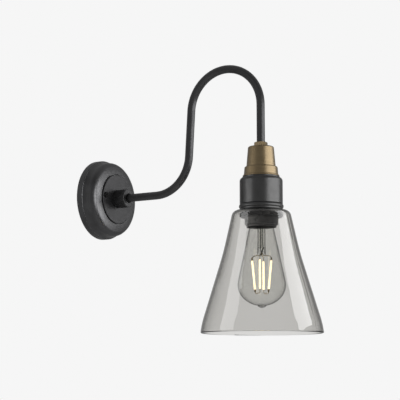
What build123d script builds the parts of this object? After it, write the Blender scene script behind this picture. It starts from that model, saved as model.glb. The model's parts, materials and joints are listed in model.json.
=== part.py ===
from build123d import *
from math import acos, asin, atan2, cos, degrees, hypot, radians, sin, tan
import os

# Swan neck wall light with a glass shade and a filament bulb, in millimetres.
# The origin is the middle of the wall plate's back: +X leaves the wall, +Z is up.
# The arm lies in the plane Y = 0.

# Clearances
THREAD_GAP = 0.15     # round a screwed joint, whose threads are left plain
FIT_GAP = 0.1         # round pieces that are pushed together
TURN_GAP = 0.3        # between pieces that move past each other
CUT_OVER = 1.0        # how far a cut runs past the face that it opens

# Swan neck
TUBE_R = 5.0
TUBE_WALL = 1.0
ARM_RUN = 87.6        # wall to the start of the lower bend
LOW_BEND_R = 48.4
RISE = 57.0           # straight length between the bends
RISE_LEAN = 3.3       # degrees that the rise leans away from the wall
TOP_BEND_R = 49.9
DROP = 52.1           # end of the top bend down to the brass cap

# Wall plate, a spun dish
PLATE_R = 50.8
PLATE_SKIN = 1.5
RIM_DEPTH = 7.0
RIM_ROUND = 1.0
ROLL_R = 39.6         # middle of the rolled shoulder
ROLL_RADIUS = 7.9
ROLL_FRONT = 16.4     # wall to the middle of the roll
CROWN_LEAN = 2.0      # degrees that the crowned front still slopes where it meets the disc's groove
DISC_R = 31.5
DISC_GROOVE = 1.0
DISC_THICK = 3.3
DISC_CHAMFER = 0.6
DISC_FACE = 27.1      # wall to the disc's face
DISC_PROUD = 1.7      # disc's face in front of the plate's inner edge
DISC_SEAT = 2.8       # width of the ledge under the disc

# Boss that takes the arm
BOSS_R = 11.75
BOSS_LENGTH = 17.4
BOSS_ROUND = 0.8
BOSS_SINK_GAP = 1.3   # round the tube, in the boss's front
BOSS_SINK = 4.0
GRUB_R = 2.0
GRUB_RECESS = 0.6

# Cover screws and bracket
SCREW_R = 2.0
SCREW_CIRCLE = 25.8   # arm axis to each cover screw
SCREW_TURN = 6.0      # degrees that the screws sit off the level
SCREW_HEAD_R = 3.6
SCREW_HEAD = 2.0
SCREW_HEAD_ROUND = 0.8
SCREW_SLOT = 0.9
SCREW_BITE = 10.0     # length of thread in its pillar
SCREW_HOLE_PLAY = 0.3
PILLAR_R = 4.0
PILLAR_GAP = 5.0      # room left for drawing the plate to the wall
BRACKET_THICK = 2.0
BRACKET_WIDTH = 22.0
BRACKET_END_GAP = 3.3
SLOT_SPACING = 72.0
SLOT_LENGTH = 12.0
SLOT_WIDTH = 4.5
CABLE_HOLE_R = 7.0

# Nuts and washers on the tube's ends
NUT_FLATS = 14.0
NUT_HEIGHT = 4.0
NUT_CHAMFER = 0.9
WASHER_R = 8.0
WASHER_THICK = 0.8
TUBE_STUB = 2.7       # tube past its nut

# Terminal block
BLOCK_DEPTH = 10.0
BLOCK_WIDTH = 10.0
BLOCK_LENGTH = 26.0
BLOCK_GAP = 1.0       # block to pillar
POLE_PITCH = 8.0
POLE_LEVEL = 4.5      # bracket to the wire holes
BLOCK_SCREW_R = 1.3
BLOCK_SCREW_INSET = 2.6
BLOCK_FIX_R = 1.4
BLOCK_FIX_HEAD_R = 2.3
BLOCK_FIX_HEAD = 2.0

# Wires
CORE_R = 1.0
CORE_RING = 1.55      # tube axis to each wire
CORE_BITE = 3.0       # wire inside its clamp
CORE_STRAIGHT = 8.0   # straight out of the tube and into the lamp holder's clamps
CORE_BEND = 0.45      # share of the shorter run beside a bend that the bend takes
LIVE_ANGLE = 210.0    # degrees about the tube's axis
NEUTRAL_ANGLE = 330.0
EARTH_ANGLE = 90.0
EARTH_LOOP = 6.3      # how far the earth wire hangs under the tube

# Brass cap of the lamp holder, from its top down
TOP_NUT_FLATS = 14.4
TOP_NUT_HEIGHT = 5.4
TOP_NUT_TURN = -17.6  # degrees
CAP_WALL = 1.2
CAP_HEIGHT = 36.85
CAP_UPPER = 24.45     # height of the upper tier
CAP_ROUND = 1.8
CAP_TAPER = 1.95      # how far the upper tier widens
CAP_STEP = 2.35       # width of the step between the tiers
CAP_STEP_ROUND = 1.6
CAP_FLARE = 0.75      # how far the lower tier widens
CAP_SKIRT_WALL = 0.85
CAP_BEAD = 2.6        # height of the rounded bead at its foot
CAP_BEAD_OUT = 1.25
TAG_BARREL_R = 1.8
TAG_BARREL = 3.0
TAG_REACH = 10.0      # lamp axis to the barrel
TAG_THICK = 0.8

# Sleeve over the lamp holder
SLEEVE_WALL = 1.5
SLEEVE_SPACE = 4.3    # lamp holder to sleeve
SLEEVE_HEIGHT = 39.45
SLEEVE_TOP_OUT = 0.6
SLEEVE_LIP = 1.0
SLEEVE_SHOULDER = 4.2
SLEEVE_BEAD_OUT = 0.95
SLEEVE_BEAD = 4.6
SLEEVE_FOOT = 1.4     # plain edge under the bead
SLEEVE_GROOVE = 0.9
SLEEVE_GROOVE_DEPTH = 0.5

# Lamp holder for a large screw cap
BULB_CAP_R = 13.2     # crest of the bulb's thread
SHELL_WALL = 0.55
SHELL_LENGTH = 27.5
SHELL_FLANGE = 4.1
SHELL_SPACE = 2.95    # screw shell to the body's bore
BODY_WALL = 3.0
BODY_SHOULDER = 1.0   # step under the sleeve's lip
BODY_NECK_WALL = 1.8
BODY_LENGTH = 71.75
BODY_TOP_GAP = 0.5    # top of the body to the cap's step
BODY_CHAMFER = 2.0
BODY_LIP = 1.5
LEDGE_THICK = 3.0
LEDGE_GAP = 0.9       # screw shell to the ledge round it
INSERT_HEIGHT = 24.45
INSERT_FLOOR = 6.5
INSERT_WALL = 1.9
CONTACT_DROP = 4.2    # how far the tongue springs down
CONTACT_THICK = 0.5
CONTACT_WIDTH = 6.0
CONTACT_FOOT = 4.0
CONTACT_PAD = 4.0
TERMINAL_OUT = 8.5    # lamp axis to each terminal
TERMINAL_X = 8.0
TERMINAL_Y = 6.0
TERMINAL_HEIGHT = 8.0
TERMINAL_WIRE_X = -1.9
TERMINAL_SCREW_X = 1.9
TERMINAL_SCREW_R = 1.5
TERMINAL_SCREW = 4.0

# Shade and the ring that holds it
GASKET_THICK = 0.8
GASKET_IN = 0.6       # lamp holder to gasket
SHADE_WALL = 2.8
SHADE_HOLE_GAP = 1.2
SHADE_FLAT = 2.35     # flat top beyond the sleeve
SHADE_SHOULDER_R = 7.5
SHADE_CONE = 12.8     # degrees from the vertical
SHADE_CONE_RUN = 34.9
SHADE_FLARE_R = 328.0
SHADE_FLARE = 17.0    # degrees from the vertical
SHADE_FLARE_RUN = 66.5
SHADE_LIP_R = 110.0
SHADE_LIP_TURN = 9.5  # degrees
RING_WIDTH = 5.7
RING_HEIGHT = 5.4
RING_ROUND = 1.4
RING_NOTCHES = 12
RING_NOTCH_R = 1.6

# Filament bulb, lengths from its end contact down
BULB_LENGTH = 137.0
BULB_R = 28.75
BULB_DOME = 25.0      # height of the rounded end
BULB_SHOULDER_R = 20.0
BULB_NECK_R = 15.0
BULB_NECK = 45.0
BULB_GLASS = 0.9
BULB_CAP_WALL = 0.5
BULB_CAP_TOP = 3.3
BULB_CAP_END = 27.0
BULB_CAP_FLARE = 0.3
BULB_SEAL = 4.0       # glass inside the cap
BULB_CONTACT_R = 4.8
BULB_CONTACT_H = 0.8
BULB_COLLAR = 2.0     # rounding from the seal to the neck
STEM_R = 4.7
STEM_WALL = 1.0
STEM_END = 76.0
STEM_FLARE = 14.0
STEM_PRESS = 8.5      # length of the stem's flattened end
STEM_PRESS_WIDTH = 9.8
STEM_PRESS_THICK = 3.6
EXHAUST_R = 1.75
EXHAUST_WALL = 0.6
FILAMENTS = 4
FILAMENT_TURN = 19.4  # degrees about the lamp axis
FILAMENT_R = 0.95
FILAMENT_DROP = 4.0   # stem to the tops of the strips
FILAMENT_TIP = 16.5   # bulb's tip to their ends
FILAMENT_TOP_R = 11.9
FILAMENT_END_R = 8.1
TAB_R = 0.75
TAB_LENGTH = 3.2      # bare metal at each end of a strip
LEAD_R = 0.35
LEAD_RING = 1.2       # lamp axis to each lead at the stem
DRIVER_THICK = 1.2
DRIVER_TOP = 6.0
DRIVER_HEIGHT = 14.0
DRIVER_CAN_R = 3.2
DRIVER_CAN = 9.0
DRIVER_CAN_SINK = 0.3

# Plate and arm
PLATE_EDGE = DISC_FACE - DISC_PROUD
DISC_BACK = DISC_FACE - DISC_THICK
NUT_FRONT = DISC_BACK - WASHER_THICK
TUBE_START = NUT_FRONT - NUT_HEIGHT - TUBE_STUB
TUBE_HOLE_R = TUBE_R + FIT_GAP
CORE_HOLE_R = CORE_R + FIT_GAP

# Stack of the lamp head, as heights under the top of the brass cap
NUT_DEPTH = CAP_WALL + WASHER_THICK + TAG_THICK
TUBE_DEPTH = NUT_DEPTH + NUT_HEIGHT + TUBE_STUB
CAP_LEDGE = CAP_UPPER + CAP_WALL
LIP_DEPTH = CAP_HEIGHT + SLEEVE_LIP
INSERT_DEPTH = CAP_LEDGE + INSERT_HEIGHT
FLOOR_DEPTH = INSERT_DEPTH - INSERT_FLOOR
BODY_DEPTH = CAP_LEDGE + BODY_TOP_GAP
SLEEVE_DEPTH = CAP_HEIGHT + SLEEVE_HEIGHT
SHADE_DEPTH = SLEEVE_DEPTH + GASKET_THICK + TURN_GAP
RING_DEPTH = SHADE_DEPTH + SHADE_WALL + TURN_GAP
BULB_DEPTH = INSERT_DEPTH + CONTACT_DROP + TURN_GAP

# Radii of the lamp head, from the bulb's thread outwards
SHELL_R = BULB_CAP_R + TURN_GAP + SHELL_WALL
BODY_BORE_R = SHELL_R + SHELL_SPACE
BODY_R = BODY_BORE_R + BODY_WALL
BODY_NECK_R = BODY_R - BODY_SHOULDER
NECK_BORE_R = BODY_NECK_R - BODY_NECK_WALL
CAP_THREAD_R = BODY_NECK_R + THREAD_GAP
CAP_FOOT_R = CAP_THREAD_R + CAP_SKIRT_WALL
CAP_WAIST_R = CAP_FOOT_R - CAP_STEP
CAP_TOP_R = CAP_WAIST_R - CAP_TAPER
CAP_SKIRT_R = CAP_FOOT_R + CAP_FLARE
CAP_BEAD_R = CAP_SKIRT_R + CAP_BEAD_OUT
SLEEVE_TOP_R = CAP_BEAD_R + SLEEVE_TOP_OUT
SLEEVE_IN_R = BODY_R + SLEEVE_SPACE
SLEEVE_R = SLEEVE_IN_R + SLEEVE_WALL
SHADE_HOLE_R = BODY_R + SHADE_HOLE_GAP
RING_IN_R = BODY_R + TURN_GAP

# Filament strips, lengths from the bulb's end contact down
FILAMENT_TOP = STEM_END + FILAMENT_DROP
FILAMENT_END = BULB_LENGTH - FILAMENT_TIP


def trace(start, heading, steps, shift=0.0):
    """Lines (length,) and tangent arcs (radius, turn) from a point, all moved to their left by shift."""
    left = Vector(1, 0).rotate(Axis.Z, heading + 90)
    point = Vector(*start) + left * shift
    edges = []
    for step in steps:
        ahead = Vector(1, 0).rotate(Axis.Z, heading)
        if len(step) == 1:
            edge = Line(point, point + ahead * step[0])
        else:
            radius, turn = step
            edge = JernArc(point, ahead, radius - shift if turn > 0 else radius + shift, turn)
            heading += turn
        edges.append(edge)
        point = edge @ 1
    return edges


def turned(edges):
    """A closed outline of radius and height, turned about the Z axis."""
    return revolve(Plane.XZ * make_face(Wire([edge for line in edges for edge in line.edges()])), Axis.Z)


def rod(start, end, radius):
    """A round rod between two points."""
    line = Line(start, end)
    return extrude(Plane(line @ 0, z_dir=line % 0) * Circle(radius), line.length)


def hex_nut(flats, height, bore_r):
    """A nut that stands on the XY plane, with turned corners."""
    corner_r = flats / (2 * cos(radians(30)))
    blank = extrude(RegularPolygon(flats / 2, 6, major_radius=False), height)
    turning = Pos(Z=height / 2) * Cylinder(corner_r, height)
    turning = chamfer(turning.edges().filter_by(GeomType.CIRCLE), NUT_CHAMFER / 2, NUT_CHAMFER)
    return (blank & turning) - extrude(Circle(bore_r), height)


def washer(outer_r, inner_r, thick):
    """A plain ring that stands on the XY plane."""
    return extrude(Circle(outer_r) - Circle(inner_r), thick)


def neck_steps(drop):
    """The swan neck's runs and bends from the end of the wall run to the lamp."""
    return [
        (LOW_BEND_R, 90 - RISE_LEAN),
        (RISE,),
        (TOP_BEND_R, RISE_LEAN - 180),
        (drop,),
    ]


def neck_edges(start, drop, shift=0.0):
    """The whole neck line in its own plane, from start on the wall run."""
    return trace((start, 0), 0, [(ARM_RUN - start,)] + neck_steps(drop), shift)


# Place of the lamp head: the middle of the brass cap's top
NECK_END = neck_edges(0, DROP)[-1] @ 1
LAMP_X = NECK_END.X
LAMP_TOP = NECK_END.Y
LAMP = Location((LAMP_X, 0, LAMP_TOP))
BULB = LAMP * Pos(Z=-BULB_DEPTH)
FACE_WALL = Rotation(0, 90, 0)
SCREW_ANGLES = (180 - SCREW_TURN, -SCREW_TURN)


def at_screws(piece):
    """Copies of a piece on the wall's YZ plane, at the two cover screws."""
    spots = [
        (SCREW_CIRCLE * cos(radians(angle)), SCREW_CIRCLE * sin(radians(angle)))
        for angle in SCREW_ANGLES
    ]
    return [Pos(0, y, z) * piece for y, z in spots]


def wall_plate():
    roll = Vector(ROLL_R, ROLL_FRONT)
    edge = Vector(DISC_R + DISC_GROOVE, PLATE_EDGE)
    # the crown rolls on from the shoulder in one larger arc that ends at the disc's groove
    reach = edge - roll
    lean = Vector(sin(radians(CROWN_LEAN)), cos(radians(CROWN_LEAN)))
    crown_r = (reach.length ** 2 - ROLL_RADIUS ** 2) / (2 * (reach.dot(lean) - ROLL_RADIUS))
    crown = edge - lean * crown_r
    leave = degrees(atan2(roll.Y - crown.Y, roll.X - crown.X))
    # the cove meets the roll upright and ends at the rim's rounded edge
    cove_in = PLATE_R - RIM_ROUND - ROLL_R - ROLL_RADIUS
    cove_up = ROLL_FRONT - RIM_DEPTH - RIM_ROUND
    cove_r = hypot(cove_in, cove_up) ** 2 / (2 * cove_in)
    cove_middle = Vector(ROLL_R + ROLL_RADIUS + cove_r, ROLL_FRONT)
    cove_turn = degrees(asin(cove_up / cove_r))

    outer_cove = CenterArc(cove_middle, cove_r, 180, cove_turn)
    outer_roll = CenterArc(roll, ROLL_RADIUS, 0, leave)
    outer_crown = CenterArc(crown, crown_r, leave, 90 - CROWN_LEAN - leave)
    wall_r = edge.X + PLATE_SKIN
    inner_end = degrees(acos((wall_r - crown.X) / (crown_r - PLATE_SKIN)))
    inner_cove = CenterArc(cove_middle, cove_r + PLATE_SKIN, 180, cove_turn)
    inner_roll = CenterArc(roll, ROLL_RADIUS - PLATE_SKIN, 0, leave)
    inner_crown = CenterArc(crown, crown_r - PLATE_SKIN, leave, inner_end - leave)
    ledge_r = DISC_R - DISC_SEAT
    inner_rim_r = PLATE_R - PLATE_SKIN
    inner_rim = (inner_cove @ 1).Y - (inner_rim_r - (inner_cove @ 1).X)
    outline = [
        Polyline((inner_rim_r, 0), (PLATE_R, 0), (PLATE_R, RIM_DEPTH)),
        JernArc((PLATE_R, RIM_DEPTH), (0, 1), RIM_ROUND, 90),
        outer_cove,
        outer_roll,
        outer_crown,
        Polyline(
            edge, (edge.X, DISC_BACK), (ledge_r, DISC_BACK), (ledge_r, DISC_BACK - PLATE_SKIN),
            (wall_r, DISC_BACK - PLATE_SKIN), inner_crown @ 1,
        ),
        inner_crown,
        inner_roll,
        inner_cove,
        Polyline(inner_cove @ 1, (inner_rim_r, inner_rim), (inner_rim_r, 0)),
    ]
    return FACE_WALL * turned(outline)


def centre_disc():
    disc = Plane.YZ.offset(DISC_BACK) * extrude(Circle(DISC_R) - Circle(TUBE_HOLE_R), DISC_THICK)
    rim = disc.edges().filter_by(GeomType.CIRCLE).group_by(SortBy.RADIUS)[-1]
    disc = chamfer(rim.sort_by(Axis.X)[-1], DISC_CHAMFER)
    hole = Plane.YZ * extrude(Circle(SCREW_R + SCREW_HOLE_PLAY), DISC_FACE)
    return disc - at_screws(hole)


def tube_boss():
    boss = Plane.YZ.offset(DISC_FACE) * extrude(Circle(BOSS_R) - Circle(TUBE_HOLE_R), BOSS_LENGTH)
    rim = boss.edges().filter_by(GeomType.CIRCLE).group_by(SortBy.RADIUS)[-1]
    boss = fillet(rim.sort_by(Axis.X)[-1], BOSS_ROUND)
    middle = DISC_FACE + BOSS_LENGTH / 2
    grub_hole = rod((middle, 0, 0), (middle, 0, -BOSS_R - CUT_OVER), GRUB_R + FIT_GAP)
    front = DISC_FACE + BOSS_LENGTH
    sink = Plane.YZ.offset(front - BOSS_SINK) * extrude(Circle(TUBE_R + BOSS_SINK_GAP), BOSS_SINK)
    return boss - grub_hole - sink


def boss_grub_screw():
    middle = DISC_FACE + BOSS_LENGTH / 2
    return rod((middle, 0, -TUBE_R - FIT_GAP), (middle, 0, GRUB_RECESS - BOSS_R), GRUB_R)


def mounting_bracket():
    half = PLATE_R - PLATE_SKIN - BRACKET_END_GAP
    slots = [Pos(side * SLOT_SPACING / 2, 0) * SlotOverall(SLOT_LENGTH, SLOT_WIDTH) for side in (-1, 1)]
    strap = SlotOverall(2 * half, BRACKET_WIDTH) - Circle(CABLE_HOLE_R) - slots
    fix_hole = Pos(*block_fix_spot()) * Circle(BLOCK_FIX_R + FIT_GAP)
    return Plane.YZ * extrude(strap - fix_hole, BRACKET_THICK)


PILLAR_FRONT = DISC_BACK - PILLAR_GAP


def bracket_pillars():
    pillar = Circle(PILLAR_R) - Circle(SCREW_R + FIT_GAP)
    return at_screws(Plane.YZ.offset(BRACKET_THICK) * extrude(pillar, PILLAR_FRONT - BRACKET_THICK))


def cover_screws():
    tip = PILLAR_FRONT - SCREW_BITE
    shank = Plane.YZ.offset(tip) * extrude(Circle(SCREW_R), DISC_FACE - tip)
    head = Plane.YZ.offset(DISC_FACE) * extrude(Circle(SCREW_HEAD_R), SCREW_HEAD)
    head = fillet(head.edges().sort_by(Axis.X)[-1], SCREW_HEAD_ROUND)
    slot = Rectangle(2 * SCREW_HEAD_R, SCREW_SLOT)
    slot = Plane.YZ.offset(DISC_FACE + SCREW_HEAD / 2) * extrude(slot, SCREW_HEAD)
    return at_screws(shank + head - slot)


def block_sides():
    """Inner and outer side of the terminal block, across the bracket."""
    outer = SCREW_CIRCLE * cos(radians(SCREW_TURN)) - PILLAR_R - BLOCK_GAP
    return outer - BLOCK_WIDTH, outer


def block_fix_spot():
    """Where the terminal block's fixing screw crosses the bracket."""
    return sum(block_sides()) / 2, POLE_PITCH / 2


def pole_heights():
    return [POLE_PITCH * pole for pole in (-1, 0, 1)]


def terminal_block():
    inner, outer = block_sides()
    body = Plane.YZ.offset(BRACKET_THICK) * extrude(
        Pos((inner + outer) / 2, 0) * RectangleRounded(BLOCK_WIDTH, BLOCK_LENGTH, BLOCK_FIX_R), BLOCK_DEPTH)
    level = BRACKET_THICK + POLE_LEVEL
    wires = [
        rod((level, inner - CUT_OVER, z), (level, outer + CUT_OVER, z), CORE_HOLE_R)
        for z in pole_heights()
    ]
    screws = block_screws(FIT_GAP)
    y, z = block_fix_spot()
    front = BRACKET_THICK + BLOCK_DEPTH
    fixing = rod((0, y, z), (front, y, z), BLOCK_FIX_R + FIT_GAP)
    sink = rod((front - BLOCK_FIX_HEAD, y, z), (front + CUT_OVER, y, z), BLOCK_FIX_HEAD_R + FIT_GAP)
    return body - wires - screws - fixing - sink


def block_screws(grow=0.0):
    """The six clamping screws, each down to its wire hole."""
    inner, outer = block_sides()
    front = BRACKET_THICK + BLOCK_DEPTH
    foot = BRACKET_THICK + POLE_LEVEL + CORE_HOLE_R
    return [
        rod((foot, y, z), (front, y, z), BLOCK_SCREW_R + grow)
        for z in pole_heights()
        for y in (inner + BLOCK_SCREW_INSET, outer - BLOCK_SCREW_INSET)
    ]


def block_fixing_screw():
    y, z = block_fix_spot()
    front = BRACKET_THICK + BLOCK_DEPTH
    shank = rod((0, y, z), (front, y, z), BLOCK_FIX_R)
    head = rod((front - BLOCK_FIX_HEAD, y, z), (front, y, z), BLOCK_FIX_HEAD_R)
    return shank + head


def arm_washer():
    return Pos(X=NUT_FRONT) * FACE_WALL * washer(WASHER_R, TUBE_HOLE_R, WASHER_THICK)


def arm_lock_nut():
    return Pos(X=NUT_FRONT - NUT_HEIGHT) * FACE_WALL * hex_nut(NUT_FLATS, NUT_HEIGHT, TUBE_R + THREAD_GAP)


def swan_neck_tube():
    line = Plane.XZ * Wire([edge.edge() for edge in neck_edges(TUBE_START, DROP + TUBE_DEPTH)])
    mouth = Plane(line @ 0, z_dir=line % 0)
    solid = sweep(mouth * Circle(TUBE_R), path=line)
    return solid - sweep(mouth * Circle(TUBE_R - TUBE_WALL), path=line)


def bent(points):
    """A line through points with each corner rounded as far as its runs allow."""
    spots = [Vector(*point) for point in points]
    radii = []
    for before, corner, after in zip(spots, spots[1:], spots[2:]):
        turn = (corner - before).get_angle(after - corner)
        shorter = min((corner - before).length, (after - corner).length)
        radii.append(CORE_BEND * shorter / tan(radians(turn / 2)))
    return FilletPolyline(*spots, radius=radii)


def core(angle, pole, lamp_points):
    """One insulated wire from its pole on the block, through the neck, to the lamp head."""
    y = CORE_RING * cos(radians(angle))
    shift = CORE_RING * sin(radians(angle))
    neck_line = neck_edges(TUBE_START, DROP + TUBE_DEPTH, shift)
    neck = Plane.XZ.offset(-y) * Wire([edge.edge() for edge in neck_line])
    block_side = block_sides()[0]
    level = BRACKET_THICK + POLE_LEVEL
    at_wall = bent([
        (level, block_side + CORE_BITE, pole),
        (level, y, pole),
        (TUBE_START - CORE_R, y, shift),
        (TUBE_START, y, shift),
    ])
    end = (LAMP_X + shift, y, LAMP_TOP - TUBE_DEPTH)
    at_lamp = bent([end] + [(LAMP_X + px, py, LAMP_TOP + pz) for px, py, pz in lamp_points])
    line = Wire(at_wall.edges() + neck.edges() + at_lamp.edges())
    return sweep(Plane(line @ 0, z_dir=line % 0) * Circle(CORE_R), path=line)


def holder_core(angle, pole, side):
    """A wire to the terminal on one side of the lamp holder."""
    y = CORE_RING * cos(radians(angle))
    shift = CORE_RING * sin(radians(angle))
    top = TERMINAL_HEIGHT - FLOOR_DEPTH
    return core(angle, pole, [
        (shift, y, -TUBE_DEPTH - CORE_STRAIGHT),
        (TERMINAL_WIRE_X, side * TERMINAL_OUT, top + CORE_STRAIGHT),
        (TERMINAL_WIRE_X, side * TERMINAL_OUT, top - CORE_BITE),
    ])


def live_core():
    return holder_core(LIVE_ANGLE, 0, -1)


def neutral_core():
    return holder_core(NEUTRAL_ANGLE, -POLE_PITCH, 1)


def earth_core():
    low = -TUBE_DEPTH - EARTH_LOOP
    return core(EARTH_ANGLE, POLE_PITCH, [
        (CORE_RING, 0, low),
        (TAG_REACH, 0, low),
        (TAG_REACH, 0, -NUT_DEPTH),
    ])


def top_lock_nut():
    return LAMP * Rotation(0, 0, TOP_NUT_TURN) * hex_nut(TOP_NUT_FLATS, TOP_NUT_HEIGHT, TUBE_R + THREAD_GAP)


def brass_cap():
    bead_top = CAP_BEAD - CAP_HEIGHT
    outline = [
        Line((TUBE_HOLE_R, 0), (CAP_TOP_R - CAP_ROUND, 0)),
        JernArc((CAP_TOP_R - CAP_ROUND, 0), (1, 0), CAP_ROUND, -90),
        Polyline(
            (CAP_TOP_R, -CAP_ROUND), (CAP_WAIST_R, -CAP_UPPER), (CAP_FOOT_R - CAP_STEP_ROUND, -CAP_UPPER),
        ),
        JernArc((CAP_FOOT_R - CAP_STEP_ROUND, -CAP_UPPER), (1, 0), CAP_STEP_ROUND, -90),
        Line((CAP_FOOT_R, -CAP_UPPER - CAP_STEP_ROUND), (CAP_SKIRT_R, bead_top)),
        ThreePointArc(
            (CAP_SKIRT_R, bead_top), (CAP_BEAD_R, bead_top - CAP_BEAD / 2), (CAP_SKIRT_R, -CAP_HEIGHT),
        ),
        Polyline(
            (CAP_SKIRT_R, -CAP_HEIGHT), (CAP_THREAD_R, -CAP_HEIGHT), (CAP_THREAD_R, -CAP_LEDGE),
            (CAP_WAIST_R - CAP_WALL, -CAP_LEDGE), (CAP_TOP_R - CAP_WALL, -CAP_ROUND),
            (CAP_TOP_R - CAP_ROUND, -CAP_WALL), (TUBE_HOLE_R, -CAP_WALL), (TUBE_HOLE_R, 0),
        ),
    ]
    return LAMP * turned(outline)


def cap_washer():
    return LAMP * Pos(Z=-CAP_WALL - WASHER_THICK) * washer(WASHER_R, TUBE_HOLE_R, WASHER_THICK)


def earth_tag():
    eye = Circle(WASHER_R) + Pos(TAG_REACH / 2, 0) * Rectangle(TAG_REACH, 2 * TAG_BARREL_R)
    eye += Pos(TAG_REACH, 0) * Circle(TAG_BARREL_R)
    plate = Pos(Z=-NUT_DEPTH) * extrude(eye - Circle(TUBE_HOLE_R), TAG_THICK)
    barrel = Pos(TAG_REACH, 0, -NUT_DEPTH - TAG_BARREL) * extrude(Circle(TAG_BARREL_R), TAG_BARREL)
    bore = Pos(TAG_REACH, 0, -NUT_DEPTH - TAG_BARREL) * extrude(Circle(CORE_HOLE_R), TAG_BARREL + TAG_THICK)
    return LAMP * (plate + barrel - bore)


def inner_lock_nut():
    return LAMP * Pos(Z=-NUT_DEPTH - NUT_HEIGHT) * hex_nut(NUT_FLATS, NUT_HEIGHT, TUBE_R + THREAD_GAP)


def holder_sleeve():
    lip_r = BODY_NECK_R + FIT_GAP
    shoulder_end = -SLEEVE_LIP - SLEEVE_SHOULDER
    bead_end = SLEEVE_FOOT - SLEEVE_HEIGHT
    bead_start = bead_end + SLEEVE_BEAD
    groove_top = bead_start + SLEEVE_GROOVE
    groove_r = SLEEVE_R - SLEEVE_GROOVE_DEPTH
    shoulder_in = SLEEVE_TOP_R - SLEEVE_WALL
    outline = [
        Polyline((lip_r, 0), (SLEEVE_TOP_R, 0), (SLEEVE_TOP_R, -SLEEVE_LIP)),
        TangentArc((SLEEVE_R, shoulder_end), (SLEEVE_TOP_R, -SLEEVE_LIP), tangent=(0, 1)),
        Polyline(
            (SLEEVE_R, shoulder_end), (SLEEVE_R, groove_top), (groove_r, groove_top - SLEEVE_GROOVE / 2),
            (SLEEVE_R, bead_start),
        ),
        ThreePointArc(
            (SLEEVE_R, bead_start), (SLEEVE_R + SLEEVE_BEAD_OUT, (bead_start + bead_end) / 2),
            (SLEEVE_R, bead_end),
        ),
        Polyline(
            (SLEEVE_R, bead_end), (SLEEVE_R, -SLEEVE_HEIGHT), (SLEEVE_IN_R, -SLEEVE_HEIGHT),
            (SLEEVE_IN_R, shoulder_end),
        ),
        TangentArc((SLEEVE_IN_R, shoulder_end), (shoulder_in, -SLEEVE_LIP), tangent=(0, 1)),
        Polyline((shoulder_in, -SLEEVE_LIP), (lip_r, -SLEEVE_LIP), (lip_r, 0)),
    ]
    return LAMP * Pos(Z=-CAP_HEIGHT) * turned(outline)


def lampholder_body():
    end = -BODY_DEPTH - BODY_LENGTH
    lip_top = end + BODY_LIP
    ledge_r = SHELL_R + LEDGE_GAP
    outline = Polyline(
        (NECK_BORE_R, -BODY_DEPTH), (BODY_NECK_R, -BODY_DEPTH), (BODY_NECK_R, -LIP_DEPTH),
        (BODY_R, -LIP_DEPTH), (BODY_R, lip_top + BODY_CHAMFER), (BODY_R - BODY_CHAMFER, lip_top),
        (BODY_R - BODY_CHAMFER, end), (BODY_BORE_R, end), (BODY_BORE_R, -INSERT_DEPTH - LEDGE_THICK),
        (ledge_r, -INSERT_DEPTH - LEDGE_THICK), (ledge_r, -INSERT_DEPTH), (NECK_BORE_R, -INSERT_DEPTH),
        close=True,
    )
    return LAMP * turned([outline])


def lampholder_insert():
    outer_r = NECK_BORE_R - FIT_GAP
    well_r = outer_r - INSERT_WALL
    cup = extrude(Circle(outer_r), INSERT_HEIGHT)
    cup -= Pos(Z=INSERT_FLOOR) * extrude(Circle(well_r), INSERT_HEIGHT)
    barrier = extrude(Rectangle(2 * well_r, INSERT_WALL), INSERT_FLOOR + TERMINAL_HEIGHT / 2)
    return LAMP * Pos(Z=-INSERT_DEPTH) * (cup + barrier)


def screw_shell():
    tube = washer(SHELL_R, SHELL_R - SHELL_WALL, SHELL_LENGTH)
    flange = Pos(Z=SHELL_LENGTH - SHELL_WALL) * washer(SHELL_R, SHELL_R - SHELL_FLANGE, SHELL_WALL)
    return LAMP * Pos(Z=-INSERT_DEPTH - SHELL_LENGTH) * (tube + flange)


def centre_contact():
    pad_start = -CONTACT_PAD / 2
    foot_start = FIT_GAP + CONTACT_WIDTH / 2 - (SHELL_R - SHELL_FLANGE)
    foot_end = foot_start + CONTACT_FOOT
    drop = CONTACT_DROP - CONTACT_THICK
    middle = Polyline((foot_start, 0), (foot_end, 0), (pad_start, -drop), (CONTACT_PAD / 2, -drop))
    under = Pos(Y=-CONTACT_THICK) * middle
    sides = [Line(middle @ 0, under @ 0), Line(middle @ 1, under @ 1)]
    strip = Plane.XZ * make_face(middle.edges() + under.edges() + sides)
    return LAMP * Pos(Z=-INSERT_DEPTH) * extrude(strip, CONTACT_WIDTH / 2, both=True)


def holder_terminals():
    block = extrude(Rectangle(TERMINAL_X, TERMINAL_Y), TERMINAL_HEIGHT)
    block -= Pos(TERMINAL_WIRE_X, 0, TERMINAL_HEIGHT - CORE_BITE) * extrude(Circle(CORE_HOLE_R), CORE_BITE)
    block -= Pos(TERMINAL_SCREW_X, 0, TERMINAL_HEIGHT - TERMINAL_SCREW) * extrude(
        Circle(TERMINAL_SCREW_R + FIT_GAP), TERMINAL_SCREW)
    return [LAMP * Pos(0, side * TERMINAL_OUT, -FLOOR_DEPTH) * block for side in (-1, 1)]


def holder_terminal_screws():
    foot = TERMINAL_HEIGHT - TERMINAL_SCREW - FLOOR_DEPTH
    screw = extrude(Circle(TERMINAL_SCREW_R), TERMINAL_SCREW)
    return [LAMP * Pos(TERMINAL_SCREW_X, side * TERMINAL_OUT, foot) * screw for side in (-1, 1)]


def shade_gasket():
    return LAMP * Pos(Z=-SLEEVE_DEPTH - GASKET_THICK) * washer(SLEEVE_R, BODY_R + GASKET_IN, GASKET_THICK)


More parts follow.
